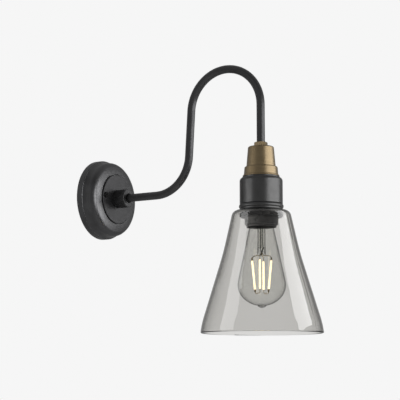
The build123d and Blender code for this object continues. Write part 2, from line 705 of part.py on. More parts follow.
def glass_shade():
    steps = [
        (SLEEVE_R + SHADE_FLAT - SHADE_HOLE_R,),
        (SHADE_SHOULDER_R, SHADE_CONE - 90),
        (SHADE_CONE_RUN,),
        (SHADE_FLARE_R, SHADE_FLARE - SHADE_CONE),
        (SHADE_FLARE_RUN,),
        (SHADE_LIP_R, -SHADE_LIP_TURN),
    ]
    outer = trace((SHADE_HOLE_R, 0), 0, steps)
    inner = trace((SHADE_HOLE_R, 0), 0, steps, -SHADE_WALL)
    rim = JernArc(outer[-1] @ 1, outer[-1] % 1, SHADE_WALL / 2, -180)
    hole = Line(inner[0] @ 0, outer[0] @ 0)
    return LAMP * Pos(Z=-SHADE_DEPTH) * turned(outer + [rim] + inner + [hole])


def shade_ring():
    ring = washer(RING_IN_R + RING_WIDTH, RING_IN_R, RING_HEIGHT)
    rim = ring.edges().filter_by(GeomType.CIRCLE).group_by(SortBy.RADIUS)[-1]
    ring = fillet(rim, RING_ROUND)
    notch = extrude(Circle(RING_NOTCH_R), RING_HEIGHT / 2)
    ring -= PolarLocations(RING_IN_R + RING_WIDTH + RING_NOTCH_R / 2, RING_NOTCHES) * notch
    return LAMP * Pos(Z=-RING_DEPTH - RING_HEIGHT) * ring


def bulb_contact():
    button = Pos(Z=-BULB_CONTACT_H) * extrude(Circle(BULB_CONTACT_R), BULB_CONTACT_H)
    rim = button.edges().sort_by(Axis.Z)[-1]
    return BULB * fillet(rim, BULB_CONTACT_H / 2)


def bulb_insulator():
    inner_r = BULB_CAP_R - BULB_CAP_WALL - FIT_GAP
    outline = Polyline(
        (0, -BULB_CONTACT_H), (BULB_CONTACT_R, -BULB_CONTACT_H), (inner_r, -BULB_CAP_TOP),
        (inner_r, -DRIVER_TOP + FIT_GAP), (0, -DRIVER_TOP + FIT_GAP),
        close=True,
    )
    return BULB * turned([outline])


def bulb_cap():
    inner_r = BULB_CAP_R - BULB_CAP_WALL
    foot = BULB_CAP_FLARE - BULB_CAP_END
    outline = Polyline(
        (BULB_CAP_R, -BULB_CAP_TOP), (BULB_CAP_R, foot), (BULB_CAP_R + BULB_CAP_FLARE / 2, -BULB_CAP_END),
        (inner_r, -BULB_CAP_END), (inner_r, -BULB_CAP_TOP),
        close=True,
    )
    return BULB * turned([outline])


def bulb_glass():
    middle = Vector(BULB_R - BULB_SHOULDER_R, BULB_DOME - BULB_LENGTH)
    neck = Vector(BULB_NECK_R, -BULB_NECK)
    # the sides leave the neck straight and meet the shoulder at this angle
    reach = neck - middle
    meet = degrees(atan2(reach.Y, reach.X) - acos(BULB_SHOULDER_R / reach.length))
    seal_r = BULB_CAP_R - BULB_CAP_WALL - FIT_GAP
    seal_top = BULB_SEAL - BULB_CAP_END
    seal_end = -BULB_CAP_END - FIT_GAP
    slant = BULB_GLASS / cos(radians(meet))
    outer_side = CenterArc(middle, BULB_SHOULDER_R, meet, -meet)
    inner_side = CenterArc(middle, BULB_SHOULDER_R - BULB_GLASS, meet, -meet)
    dome = Vector(0, middle.Y)
    outer_dome = EllipticalCenterArc(dome, BULB_R, BULB_DOME, -90, arc_size=90)
    inner_dome = EllipticalCenterArc(dome, BULB_R - BULB_GLASS, BULB_DOME - BULB_GLASS, -90, arc_size=90)
    outline = [
        Polyline(
            (seal_r, seal_top), (seal_r, seal_end), (BULB_CAP_R, seal_end - BULB_COLLAR),
            neck, outer_side @ 0,
        ),
        outer_side,
        outer_dome,
        Line((0, -BULB_LENGTH), (0, BULB_GLASS - BULB_LENGTH)),
        inner_dome,
        inner_side,
        Polyline(
            inner_side @ 0, (neck.X - slant, neck.Y), (BULB_CAP_R - BULB_GLASS, seal_end - BULB_COLLAR),
            (seal_r - BULB_GLASS, seal_end), (seal_r - BULB_GLASS, seal_top), (seal_r, seal_top),
        ),
    ]
    return BULB * turned(outline)


def bulb_stem():
    """A flared glass tube, pressed flat at its end, with the exhaust tube inside it."""
    flare_r = BULB_CAP_R - BULB_CAP_WALL - BULB_GLASS - 2 * FIT_GAP
    top = BULB_SEAL - BULB_CAP_END
    mouth = top - BULB_SEAL / 2
    throat = top - STEM_FLARE
    press_top = STEM_PRESS - STEM_END
    outline = [
        Line((STEM_R, press_top), (STEM_R, throat)),
        TangentArc((STEM_R, throat), (flare_r, mouth), tangent=(0, 1)),
        Polyline((flare_r, mouth), (flare_r, top), (flare_r - STEM_WALL, top), (flare_r - STEM_WALL, mouth)),
        TangentArc((STEM_R - STEM_WALL, throat), (flare_r - STEM_WALL, mouth), tangent=(0, 1)),
        Polyline((STEM_R - STEM_WALL, throat), (STEM_R - STEM_WALL, press_top), (STEM_R, press_top)),
    ]
    press = loft([
        Pos(Z=-STEM_END) * Ellipse(STEM_PRESS_WIDTH / 2, STEM_PRESS_THICK / 2),
        Pos(Z=press_top) * Circle(STEM_R),
    ])
    exhaust = Pos(Z=press_top) * washer(EXHAUST_R, EXHAUST_R - EXHAUST_WALL, top - press_top)
    return BULB * Rotation(0, 0, FILAMENT_TURN) * (turned(outline) + press + exhaust)


def around_bulb(piece, count, start=0.0):
    """Copies of a piece spread evenly about the lamp axis."""
    first = FILAMENT_TURN + start
    return [BULB * Rotation(0, 0, first + turn * 360 / count) * piece for turn in range(count)]


def filament_line():
    return Line((FILAMENT_TOP_R, 0, -FILAMENT_TOP), (FILAMENT_END_R, 0, -FILAMENT_END))


def bulb_filaments():
    line = filament_line()
    bare = TAB_LENGTH / line.length
    return around_bulb(rod(line @ bare, line @ (1 - bare), FILAMENT_R), FILAMENTS)


def bulb_leads():
    """Bare ends of the strips, wires that hang them from the stem, and links that pair them below."""
    line = filament_line()
    bare = TAB_LENGTH / line.length
    tabs = [rod(line @ 0, line @ bare, TAB_R), rod(line @ (1 - bare), line @ 1, TAB_R)]
    lean = (FILAMENT_TOP_R - FILAMENT_END_R) / (FILAMENT_END - FILAMENT_TOP)
    clear = LEAD_R + TAB_R * lean + FIT_GAP
    lead = rod((LEAD_RING, 0, -STEM_END - clear), (FILAMENT_TOP_R, 0, clear - FILAMENT_TOP), LEAD_R)
    half = 180 / FILAMENTS
    link_r = FILAMENT_END_R * cos(radians(half))
    link_y = FILAMENT_END_R * sin(radians(half))
    low = -FILAMENT_END - clear
    link = rod((link_r, -link_y, low), (link_r, link_y, low), LEAD_R)
    hung = [copy for piece in [lead] + tabs for copy in around_bulb(piece, FILAMENTS)]
    return hung + around_bulb(link, FILAMENTS // 2, half)


def bulb_driver():
    half = BULB_CAP_R - BULB_CAP_WALL - TURN_GAP
    board = Pos(Z=-DRIVER_TOP - DRIVER_HEIGHT / 2) * Box(DRIVER_THICK, 2 * half, DRIVER_HEIGHT)
    can_top = -DRIVER_TOP - (DRIVER_HEIGHT - DRIVER_CAN) / 2
    can_x = DRIVER_THICK / 2 + DRIVER_CAN_R - DRIVER_CAN_SINK
    can = rod((can_x, 0, can_top), (can_x, 0, can_top - DRIVER_CAN), DRIVER_CAN_R)
    return BULB * (board + can)


PIECES = [
    wall_plate, centre_disc, tube_boss, boss_grub_screw, cover_screws, mounting_bracket, bracket_pillars,
    terminal_block, block_screws, block_fixing_screw, arm_washer, arm_lock_nut, swan_neck_tube,
    live_core, neutral_core, earth_core, top_lock_nut, brass_cap, cap_washer, earth_tag, inner_lock_nut,
    holder_sleeve, lampholder_body, lampholder_insert, screw_shell, centre_contact, holder_terminals,
    holder_terminal_screws, shade_gasket, glass_shade, shade_ring, bulb_contact, bulb_insulator, bulb_cap,
    bulb_glass, bulb_stem, bulb_filaments, bulb_leads, bulb_driver,
]

os.makedirs("parts", exist_ok=True)
for make in PIECES:
    made = make()
    solids = made if isinstance(made, list) else [made]
    node = Compound(children=[solid for piece in solids for solid in piece.solids()])
    export_step(node, os.path.join("parts", make.__name__ + ".step"))
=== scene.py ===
import bmesh
import bpy
import json
from math import cos, pi, radians, sin, tan
from mathutils import Matrix, Vector


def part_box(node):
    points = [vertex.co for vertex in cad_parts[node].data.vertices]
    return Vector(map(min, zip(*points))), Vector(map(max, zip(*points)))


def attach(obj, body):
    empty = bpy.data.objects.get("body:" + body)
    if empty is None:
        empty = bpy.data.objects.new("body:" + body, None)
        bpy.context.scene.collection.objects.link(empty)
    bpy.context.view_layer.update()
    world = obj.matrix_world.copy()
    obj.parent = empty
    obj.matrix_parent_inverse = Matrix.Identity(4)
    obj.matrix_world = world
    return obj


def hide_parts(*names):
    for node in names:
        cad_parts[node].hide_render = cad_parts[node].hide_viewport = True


# A swan neck wall light with a smoked glass shade and a filament bulb.
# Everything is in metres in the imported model's frame: +X leaves the wall, +Z is up.

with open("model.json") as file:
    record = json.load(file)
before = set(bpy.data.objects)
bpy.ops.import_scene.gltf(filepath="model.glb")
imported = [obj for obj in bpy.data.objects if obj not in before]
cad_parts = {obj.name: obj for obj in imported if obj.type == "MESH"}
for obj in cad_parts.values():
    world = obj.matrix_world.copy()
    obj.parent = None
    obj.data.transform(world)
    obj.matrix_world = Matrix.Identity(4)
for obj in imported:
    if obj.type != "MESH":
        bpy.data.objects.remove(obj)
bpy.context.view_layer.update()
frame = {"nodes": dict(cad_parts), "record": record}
nodes = frame["nodes"]

MM = 0.001
WELD = 1e-7               # points closer than this become one
SHARP = radians(35)       # edges that turn more than this stay crisp
TURN_STEPS = 128          # steps round a turned piece
CLOUD = (0.3, 0.7)        # where most values of a cloudy pattern lie

# rubber ring between the sleeve and the glass
GASKET_GAP = 0.6 * MM     # round the lamp holder
GASKET_ROUND = 0.25 * MM
GASKET_ROUND_STEPS = 3

# filament strips, which lean in towards the tip of the bulb with a slight twist
STRIPS = 4
STRIP_TURN = radians(19.4)    # of the first one, about the lamp axis
STRIP_TWIST = radians(5)
STRIP_TOP_R = 11.9 * MM
STRIP_END_R = 8.1 * MM
STRIP_WIDTH = 2.5 * MM
STRIP_ROUND = 0.9 * MM
BAR_SIDES = 20
BAR_ROUND_STEPS = 4

# bare ends of the strips
BARE_LENGTH = 3.2 * MM
BARE_REACH = 1.1          # length with its root in the strip, over the bare length
BARE_WIDTH = 0.7 * MM
BARE_DEPTH = 1.9 * MM
BARE_ROUND = 0.25 * MM

# wires that hang the strips and link them in pairs; bends are millimetres out and up
WIRE_R = 0.4 * MM
LINK_SAG = 2.2 * MM
HANGER_BENDS = ((1.2, 1.5), (1.4, -1.4), (5.5, -1.0))     # from the lamp axis and the stem's end
HOOK_BENDS = ((-1.0, 1.6), (0.0, -0.5))                   # from the top of a bare end

# two dark wires inside the stem, from the driver down; bends as for a hanger
STEM_WIRE_R = 0.5 * MM
STEM_WIRE_OUT = 2.6       # in millimetres, from the lamp axis
STEM_WIRE_BENDS = ((STEM_WIRE_OUT, 12.0), (STEM_WIRE_OUT, 7.0), (0.9, 4.0), (1.2, 1.0))

# drawn-off tip of the bulb's glass
TIP_R = 5.0 * MM
TIP_DROP = 2.0 * MM
TIP_WALL = 1.0 * MM
TIP_STEPS = 8             # down its curve
TIP_TURN_STEPS = 48       # round it

# screw cap of the bulb, thin sheet with a rolled thread
PITCH = 3.6286 * MM
CREST_R = 13.2 * MM
THREAD_DEPTH = 0.9 * MM
THREAD_STEPS = 60         # in each turn
THREAD_WELD = 5e-6
WAVE_STEPS = 10           # from crest to crest
CAP_SHEET = 0.4 * MM
CAP_TOP = (2.5 * MM, 12.2 * MM)     # length and radius of the plain end above the thread
CAP_FOOT = (3.0 * MM, 13.1 * MM)    # and of the one below it
CAP_SHOULDER = 0.3        # share of a plain end in which it leaves the thread

# camera, room and floor
AWAY = Vector((-0.5306, 0.8361, 0.1397))    # where the camera looks
RIGHT = Vector((0.844, 0.5364, 0.0))        # what is on its right
HEAD = Vector((0.239, 0.0, -0.06))          # middle of the lamp head
CAMERA = (1.00449, -1.34318, -0.23494)
LENS = 117.25             # in millimetres, and so is the sensor
SENSOR = 36.0
BOUNCES = 32              # light reaches the bulb's stem through many walls of glass
BACKDROP = 0.9216         # the plain pale background
FLOOR_LEVEL = -1.5
FLOOR_R = 6.0
FLOOR_SIDES = 96
FLOOR_GLOW = 0.6          # what keeps the floor pale where few lamps reach it
# how bright the room is where surfaces mirror it, from the camera (0) round to the far side (1)
MIRRORED = ((0.0, 0.06), (0.15, 0.08), (0.45, 0.30), (0.60, 0.44), (0.75, 0.40), (0.90, 0.28), (1.0, 0.34))

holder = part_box("lampholder_body")
LAMP_X = (holder[0].x + holder[1].x) / 2    # from the wall to the upright axis of the lamp


# Finishes

def new_finish(name):
    """A material with its tree and its one surface shader."""
    finish = bpy.data.materials.new(name)
    finish.use_nodes = True
    return finish, finish.node_tree, finish.node_tree.nodes["Principled BSDF"]


def mottle(tree, size, squeeze=(1, 1, 1), detail=3.0):
    """Cloudy marks about size millimetres wide, squeezed so many times along each axis."""
    spot = tree.nodes.new("ShaderNodeTexCoord")
    turn = tree.nodes.new("ShaderNodeMapping")
    turn.inputs["Scale"].default_value = squeeze
    cloud = tree.nodes.new("ShaderNodeTexNoise")
    cloud.inputs["Scale"].default_value = 1 / (size * MM)
    cloud.inputs["Detail"].default_value = detail
    tree.links.new(spot.outputs["Object"], turn.inputs["Vector"])
    tree.links.new(turn.outputs["Vector"], cloud.inputs["Vector"])
    return cloud.outputs["Fac"]


def tones(tree, marks, dark, light, socket, span=CLOUD):
    """Colours between dark and light, by the marks, into a socket."""
    ramp = tree.nodes.new("ShaderNodeValToRGB")
    for stop, place, colour in zip(ramp.color_ramp.elements, span, (dark, light)):
        stop.position = place
        stop.color = (*colour, 1)
    tree.links.new(marks, ramp.inputs["Fac"])
    tree.links.new(ramp.outputs["Color"], socket)


def levels(tree, marks, low, high, socket):
    """Numbers between low and high, by the marks, into a socket."""
    span = tree.nodes.new("ShaderNodeMapRange")
    span.inputs["From Min"].default_value = CLOUD[0]
    span.inputs["From Max"].default_value = CLOUD[1]
    span.inputs["To Min"].default_value = low
    span.inputs["To Max"].default_value = high
    tree.links.new(marks, span.inputs["Value"])
    tree.links.new(span.outputs["Result"], socket)


def relief(tree, marks, shader, height, strength):
    """A fine relief, height millimetres deep, on a shader."""
    bump = tree.nodes.new("ShaderNodeBump")
    bump.inputs["Distance"].default_value = height * MM
    bump.inputs["Strength"].default_value = strength
    tree.links.new(marks, bump.inputs["Height"])
    tree.links.new(bump.outputs["Normal"], shader.inputs["Normal"])


def powder_coat(name, dark, light, rough):
    """Satin metallic powder coat: a fine orange peel and a slight change of tone."""
    finish, tree, shader = new_finish(name)
    shader.inputs["Metallic"].default_value = 0.9
    tones(tree, mottle(tree, size=14), dark, light, shader.inputs["Base Color"])
    levels(tree, mottle(tree, size=5), rough - 0.04, rough + 0.05, shader.inputs["Roughness"])
    relief(tree, mottle(tree, size=0.7, detail=1.5), shader, height=0.02, strength=0.35)
    return finish


def metal(name, dark, light, rough, squeeze=(1, 1, 1), size=3.0, scratch=0.004, lacquer=0.0):
    """Metal with fine marks, even or drawn out along one way, bare or under clear lacquer."""
    finish, tree, shader = new_finish(name)
    shader.inputs["Metallic"].default_value = 1.0
    shader.inputs["Coat Weight"].default_value = lacquer
    shader.inputs["Coat Roughness"].default_value = 0.22
    marks = mottle(tree, size, squeeze)
    tones(tree, marks, dark, light, shader.inputs["Base Color"])
    levels(tree, mottle(tree, size * 2, squeeze), rough - 0.05, rough + 0.06, shader.inputs["Roughness"])
    relief(tree, marks, shader, height=scratch, strength=0.4)
    return finish


def moulded(name, dark, light, rough, size=4.0, peel=0.01, shine=0.5):
    """Moulded plastic, rubber, glazed clay or blackened steel, with a slight change of tone."""
    finish, tree, shader = new_finish(name)
    shader.inputs["Specular IOR Level"].default_value = shine
    tones(tree, mottle(tree, size), dark, light, shader.inputs["Base Color"])
    levels(tree, mottle(tree, size * 2), rough - 0.04, rough + 0.06, shader.inputs["Roughness"])
    relief(tree, mottle(tree, size=0.5), shader, height=peel, strength=0.3)
    return finish


def clear_to_lamps(tree, shader, tint):
    """Lets light from the lamps through a glass shader."""
    path = tree.nodes.new("ShaderNodeLightPath")
    clear = tree.nodes.new("ShaderNodeBsdfTransparent")
    clear.inputs["Color"].default_value = (*tint, 1)
    mix = tree.nodes.new("ShaderNodeMixShader")
    tree.links.new(path.outputs["Is Shadow Ray"], mix.inputs["Fac"])
    tree.links.new(shader.outputs["BSDF"], mix.inputs[1])
    tree.links.new(clear.outputs["BSDF"], mix.inputs[2])
    tree.links.new(mix.outputs["Shader"], tree.nodes["Material Output"].inputs["Surface"])


def glass(name, ior, tint, wall=(1, 1, 1), smoke=None, density=0.0):
    """Glass with faint smears, and smoke of some density per metre in its wall.

    The light of the lamps comes through with the tint, and wall colours what is seen through it.
    """
    finish, tree, shader = new_finish(name)
    shader.inputs["Base Color"].default_value = (*wall, 1)
    shader.inputs["Transmission Weight"].default_value = 1.0
    shader.inputs["IOR"].default_value = ior
    levels(tree, mottle(tree, size=30), 0.0, 0.02, shader.inputs["Roughness"])
    clear_to_lamps(tree, shader, tint)
    if smoke:
        absorb = tree.nodes.new("ShaderNodeVolumeAbsorption")
        absorb.inputs["Color"].default_value = (*smoke, 1)
        absorb.inputs["Density"].default_value = density
        tree.links.new(absorb.outputs["Volume"], tree.nodes["Material Output"].inputs["Volume"])
    return finish


def striped_insulation(name, green, yellow):
    """Green wire with a yellow stripe along it."""
    finish, tree, shader = new_finish(name)
    spot = tree.nodes.new("ShaderNodeTexCoord")
    stripe = tree.nodes.new("ShaderNodeTexWave")
    stripe.bands_direction = "Y"
    stripe.inputs["Scale"].default_value = 160
    tree.links.new(spot.outputs["Object"], stripe.inputs["Vector"])
    tones(tree, stripe.outputs["Fac"], green, yellow, shader.inputs["Base Color"], span=(0.48, 0.52))
    shader.inputs["Roughness"].default_value = 0.42
    return finish


def glowing_strip(name):
    """The filament's yellow coat, lit from inside, a little uneven along its length."""
    finish, tree, shader = new_finish(name)
    marks = mottle(tree, size=2.2)
    tones(tree, marks, (0.95, 0.72, 0.30), (1.0, 0.84, 0.46), shader.inputs["Base Color"])
    tones(tree, marks, (1.0, 0.85, 0.58), (1.0, 0.92, 0.72), shader.inputs["Emission Color"])
    shader.inputs["Emission Strength"].default_value = 1.8
    shader.inputs["Roughness"].default_value = 0.5
    return finish


# most have a dark tone, a light tone and a roughness
finishes = {
    "charcoal_paint": powder_coat("charcoal_paint", (0.088, 0.088, 0.090), (0.102, 0.102, 0.105), 0.34),
    "black_sleeve": powder_coat("black_sleeve", (0.088, 0.088, 0.088), (0.104, 0.104, 0.104), 0.32),
    "antique_brass": metal(
        "antique_brass", (0.240, 0.174, 0.092), (0.295, 0.222, 0.124), 0.36, (0.2, 0.2, 6), lacquer=0.5),
    "dark_screws": moulded("dark_screws", (0.006, 0.006, 0.006), (0.012, 0.012, 0.012), 0.5, 2.0, shine=0.2),
    "zinc_steel": metal("zinc_steel", (0.50, 0.50, 0.48), (0.66, 0.66, 0.64), 0.34, (1, 0.2, 1)),
    "contact_brass": metal("contact_brass", (0.62, 0.46, 0.22), (0.78, 0.60, 0.32), 0.26),
    "black_phenolic": moulded("black_phenolic", (0.040, 0.040, 0.041), (0.052, 0.052, 0.053), 0.3),
    "porcelain": moulded("porcelain", (0.74, 0.73, 0.69), (0.84, 0.83, 0.79), 0.16, 9),
    "block_nylon": moulded("block_nylon", (0.70, 0.70, 0.65), (0.80, 0.80, 0.76), 0.45),
    "wire_brown": moulded("wire_brown", (0.11, 0.045, 0.02), (0.16, 0.065, 0.03), 0.42),
    "wire_blue": moulded("wire_blue", (0.02, 0.08, 0.36), (0.03, 0.12, 0.46), 0.42),
    "wire_green": striped_insulation("wire_green", (0.03, 0.22, 0.05), (0.62, 0.52, 0.03)),
    "gasket_rubber": moulded("gasket_rubber", (0.016, 0.016, 0.016), (0.026, 0.026, 0.026), 0.7),
    "smoked_glass": glass(
        "smoked_glass", ior=1.5, tint=(0.74, 0.735, 0.72), smoke=(0.10, 0.07, 0.0), density=96.0),
    "bulb_clear_glass": glass(
        "bulb_clear_glass", ior=1.46, tint=(0.96, 0.96, 0.96), wall=(0.93, 0.93, 0.915)),
    "cap_nickel": metal("cap_nickel", (0.56, 0.54, 0.50), (0.72, 0.70, 0.65), 0.24),
    "cap_insulator": moulded("cap_insulator", (0.008, 0.008, 0.01), (0.016, 0.016, 0.02), 0.12),
    "solder": metal("solder", (0.50, 0.50, 0.50), (0.66, 0.66, 0.66), 0.4),
    "filament_cream": glowing_strip("filament_cream"),
    "lead_wire": metal("lead_wire", (0.40, 0.29, 0.13), (0.58, 0.44, 0.22), 0.3),
    "circuit_board": moulded("circuit_board", (0.02, 0.12, 0.05), (0.04, 0.18, 0.08), 0.4),
}
for part in frame["record"]["subparts"]:
    nodes[part["node"]].material_slots[0].material = finishes[part["material_slot"]]


# How turned, threaded and bent pieces are made

def finish_piece(bm, name, slot, body, *replaced):
    """A mesh object from a bmesh, with its finish, on its body, in place of the CAD nodes named."""
    bmesh.ops.remove_doubles(bm, verts=bm.verts, dist=WELD)
    bmesh.ops.recalc_face_normals(bm, faces=bm.faces)
    mesh = bpy.data.meshes.new(name)
    bm.to_mesh(mesh)
    bm.free()
    mesh.shade_smooth()
    mesh.set_sharp_from_angle(angle=SHARP)
    mesh.materials.append(finishes[slot])
    piece = bpy.data.objects.new(name, mesh)
    bpy.context.scene.collection.objects.link(piece)
    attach(piece, body)
    if replaced:
        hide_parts(*replaced)
    return piece


def draw_outline(bm, points):
    """Edges through points of radius and height, beside the upright line through the origin."""
    last = bm.verts.new((points[0][0], 0, points[0][1]))
    for radius, height in points[1:]:
        last = bmesh.ops.extrude_vert_indiv(bm, verts=[last])["verts"][0]
        last.co = (radius, 0, height)


def turn_outline(bm, steps=TURN_STEPS, turns=1, climb=0.0):
    """Turns an outline about that line; climb is the rise of a thread in each turn."""
    bmesh.ops.spin(
        bm, geom=bm.verts[:] + bm.edges[:], cent=(0, 0, 0), axis=(0, 0, 1), angle=2 * pi * turns,
        steps=steps * turns, dvec=(0, 0, climb / steps), use_merge=not climb)
    bmesh.ops.remove_doubles(bm, verts=bm.verts, dist=WELD)


def onto_lamp(bm):
    """Moves what was turned onto the lamp axis."""
    bmesh.ops.translate(bm, vec=(LAMP_X, 0, 0), verts=bm.verts)


def level_edges(bm):
    """The edges whose two ends are at one height."""
    return [edge for edge in bm.edges if abs(edge.verts[0].co.z - edge.verts[1].co.z) < WELD]


def round_edges(bm, edges, size, steps):
    """Rounds edges over."""
    bmesh.ops.bevel(
        bm, geom=edges, offset=size, offset_type="OFFSET", segments=steps, profile=0.5,
        affect="EDGES", material=-1)


def add_shape(bm, shape, place):
    """Puts a bmesh into another one, in its place."""
    bmesh.ops.transform(shape, matrix=place, verts=shape.verts)
    mesh = bpy.data.meshes.new("shape")
    shape.to_mesh(mesh)
    shape.free()
    bm.from_mesh(mesh)
    bpy.data.meshes.remove(mesh)


def add_bar(bm, start, end, width, depth, rounding):
    """A bar between two points, oval across, with rounded ends."""
    bar = bmesh.new()
    way = end - start
    bmesh.ops.create_cone(
        bar, cap_ends=True, segments=BAR_SIDES, radius1=0.5, radius2=0.5, depth=way.length)
    bmesh.ops.scale(bar, vec=(width, depth, 1), verts=bar.verts)
    round_edges(bar, level_edges(bar), rounding, BAR_ROUND_STEPS)
    lean = way.to_track_quat("Z", "Y").to_matrix().to_4x4()
    add_shape(bm, bar, Matrix.Translation((start + end) / 2) @ lean)


def add_wire(bm, points, radius):
    """A bent round wire along a smooth line near the points."""
    line = bpy.data.curves.new("wire", "CURVE")
    line.dimensions = "3D"
    line.bevel_depth = radius
    line.bevel_resolution = 3
    line.use_fill_caps = True
    run = line.splines.new("NURBS")
    run.points.add(len(points) - 1)
    for knot, point in zip(run.points, points):
        knot.co = (*point, 1)
    run.order_u = 3
    run.use_endpoint_u = True
    wire = bpy.data.objects.new("wire", line)
    mesh = bpy.data.meshes.new_from_object(wire)
    bm.from_mesh(mesh)
    bpy.data.meshes.remove(mesh)
    bpy.data.objects.remove(wire)
    bpy.data.curves.remove(line)


def beside_lamp(turn, radius, height):
    """The point at a turn about the lamp axis, a radius from it and a height."""
    return Vector((LAMP_X + radius * cos(turn), radius * sin(turn), height))


def bent(turn, bends, radius, height):
    """Points at one turn about the lamp axis, at bends out and up from a radius and a height."""
    return [beside_lamp(turn, radius + out * MM, height + up * MM) for out, up in bends]


# Gasket

low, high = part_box("shade_gasket")
gasket_r = (high.x - low.x) / 2
hole_r = (holder[1].x - holder[0].x) / 2 + GASKET_GAP
gasket = bmesh.new()
draw_outline(gasket, [
    (hole_r, low.z), (gasket_r, low.z), (gasket_r, high.z), (hole_r, high.z), (hole_r, low.z)])
turn_outline(gasket)
rims = [edge for edge in level_edges(gasket)
        if abs(edge.verts[0].co.xy.length - edge.verts[1].co.xy.length) < WELD]
round_edges(gasket, rims, GASKET_ROUND, GASKET_ROUND_STEPS)
onto_lamp(gasket)
finish_piece(gasket, "rubber_gasket", "gasket_rubber", "fixture", "shade_gasket")


# Filaments and their wires

low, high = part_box("bulb_filaments")
strip_top = high.z + BARE_LENGTH
strip_end = low.z - BARE_LENGTH
stem_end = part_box("bulb_stem")[0].z
driver_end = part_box("bulb_driver")[0].z

strips = bmesh.new()
wires = bmesh.new()
for strip in range(STRIPS):
    turn = STRIP_TURN + strip * 2 * pi / STRIPS
    top = beside_lamp(turn, STRIP_TOP_R, strip_top)
    end = beside_lamp(turn - STRIP_TWIST, STRIP_END_R, strip_end)
    bare = (end - top).normalized() * BARE_LENGTH
    add_bar(strips, top + bare, end - bare, STRIP_WIDTH, STRIP_WIDTH, STRIP_ROUND)
    add_bar(wires, top, top + bare * BARE_REACH, BARE_WIDTH, BARE_DEPTH, BARE_ROUND)
    add_bar(wires, end - bare * BARE_REACH, end, BARE_WIDTH, BARE_DEPTH, BARE_ROUND)
    hanger = bent(turn, HANGER_BENDS, 0, stem_end)
    hook = bent(turn, HOOK_BENDS, STRIP_TOP_R, strip_top)
    add_wire(wires, hanger + hook, WIRE_R)
leads = bmesh.new()
for turn in (pi / 2, -pi / 2):
    start = beside_lamp(turn, STEM_WIRE_OUT * MM, driver_end)
    add_wire(leads, [start] + bent(turn, STEM_WIRE_BENDS, 0, stem_end), STEM_WIRE_R)
sag = Vector((0, 0, -LINK_SAG))
for pair in (0, 2):
    turn = STRIP_TURN - STRIP_TWIST + pair * 2 * pi / STRIPS
    ends = [beside_lamp(turn + step * pi / STRIPS, STRIP_END_R, strip_end) for step in (0, 1, 2)]
    add_wire(wires, [
        ends[0] - sag / 4, ends[0] + sag / 2, ends[1] + sag, ends[2] + sag / 2, ends[2] - sag / 4], WIRE_R)
finish_piece(strips, "filament_strips", "filament_cream", "bulb", "bulb_filaments")
finish_piece(wires, "filament_wires", "lead_wire", "bulb", "bulb_leads")
finish_piece(leads, "stem_wires", "cap_insulator", "bulb")


# Tip of the bulb

def dome(radius, drop, height):
    """A quarter of an oval, from the axis, drop below a height, out to the radius at that height."""
    turns = [pi / 2 * step / TIP_STEPS for step in range(TIP_STEPS + 1)]
    return [(radius * sin(turn), height - drop * cos(turn)) for turn in turns]


glass_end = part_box("bulb_glass")[0].z
inner = dome(TIP_R - TIP_WALL, TIP_DROP - TIP_WALL, glass_end)
outer = dome(TIP_R, TIP_DROP, glass_end)
brim = [(TIP_R - TIP_WALL, glass_end + TIP_WALL), (TIP_R, glass_end + TIP_WALL)]
tip = bmesh.new()
draw_outline(tip, inner + brim + outer[::-1])
turn_outline(tip, TIP_TURN_STEPS)
onto_lamp(tip)
finish_piece(tip, "bulb_tip", "bulb_clear_glass", "bulb")


# Screw cap of the bulb

def wave(share):
    """Depth of the rolled thread at a share of the way from one crest to the next."""
    return THREAD_DEPTH / 2 * (1 - cos(2 * pi * share))


low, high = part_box("bulb_cap")
shares = [step / WAVE_STEPS for step in range(WAVE_STEPS + 1)]
thread_turns = int((high.z - low.z) / PITCH) + 2
cap = bmesh.new()
draw_outline(cap, [(CREST_R - wave(share), low.z - PITCH * (1 - share)) for share in shares])
turn_outline(cap, THREAD_STEPS, thread_turns, PITCH)
bmesh.ops.remove_doubles(cap, verts=cap.verts, dist=THREAD_WELD)
for height, way, (length, radius) in ((high.z, 1, CAP_TOP), (low.z, -1, CAP_FOOT)):
    cut = height - way * length
    bmesh.ops.bisect_plane(
        cap, geom=cap.verts[:] + cap.edges[:] + cap.faces[:], dist=THREAD_WELD,
        plane_co=(0, 0, cut), plane_no=(0, 0, way), clear_outer=True)
    rim = [edge for edge in cap.edges if edge.is_boundary
           and all(abs(vert.co.z - cut) < THREAD_WELD for vert in edge.verts)]
    for share in (CAP_SHOULDER, 1):
        grown = bmesh.ops.extrude_edge_only(cap, edges=rim)["geom"]
        rim = [item for item in grown if isinstance(item, bmesh.types.BMEdge) and item.is_boundary]
        for vert in [item for item in grown if isinstance(item, bmesh.types.BMVert)]:
            vert.co.xy = vert.co.xy.normalized() * radius
            vert.co.z = cut + way * length * share
onto_lamp(cap)
screw_cap = finish_piece(cap, "bulb_screw_cap", "cap_nickel", "bulb", "bulb_cap")
sheet = screw_cap.modifiers.new("sheet", "SOLIDIFY")
sheet.thickness = CAP_SHEET
sheet.offset = -1.0


# Room

def room_ramp(tree, place, glows):
    """Grey levels along a line of places, each a pair of place and glow."""
    ramp = tree.nodes.new("ShaderNodeValToRGB")
    for stop in glows[1:-1]:
        ramp.color_ramp.elements.new(stop[0])
    for stop, (spot, glow) in zip(ramp.color_ramp.elements, glows):
        stop.position = spot
        stop.color = (glow, glow, glow, 1)
    tree.links.new(place, ramp.inputs["Fac"])
    return ramp.outputs["Color"]


def number(tree, operation, first, second):
    """A number worked out from two others, each an output or a plain value."""
    result = tree.nodes.new("ShaderNodeMath")
    result.operation = operation
    for socket, value in zip(result.inputs, (first, second)):
        if isinstance(value, float):
            socket.default_value = value
        else:
            tree.links.new(value, socket)
    return result.outputs["Value"]


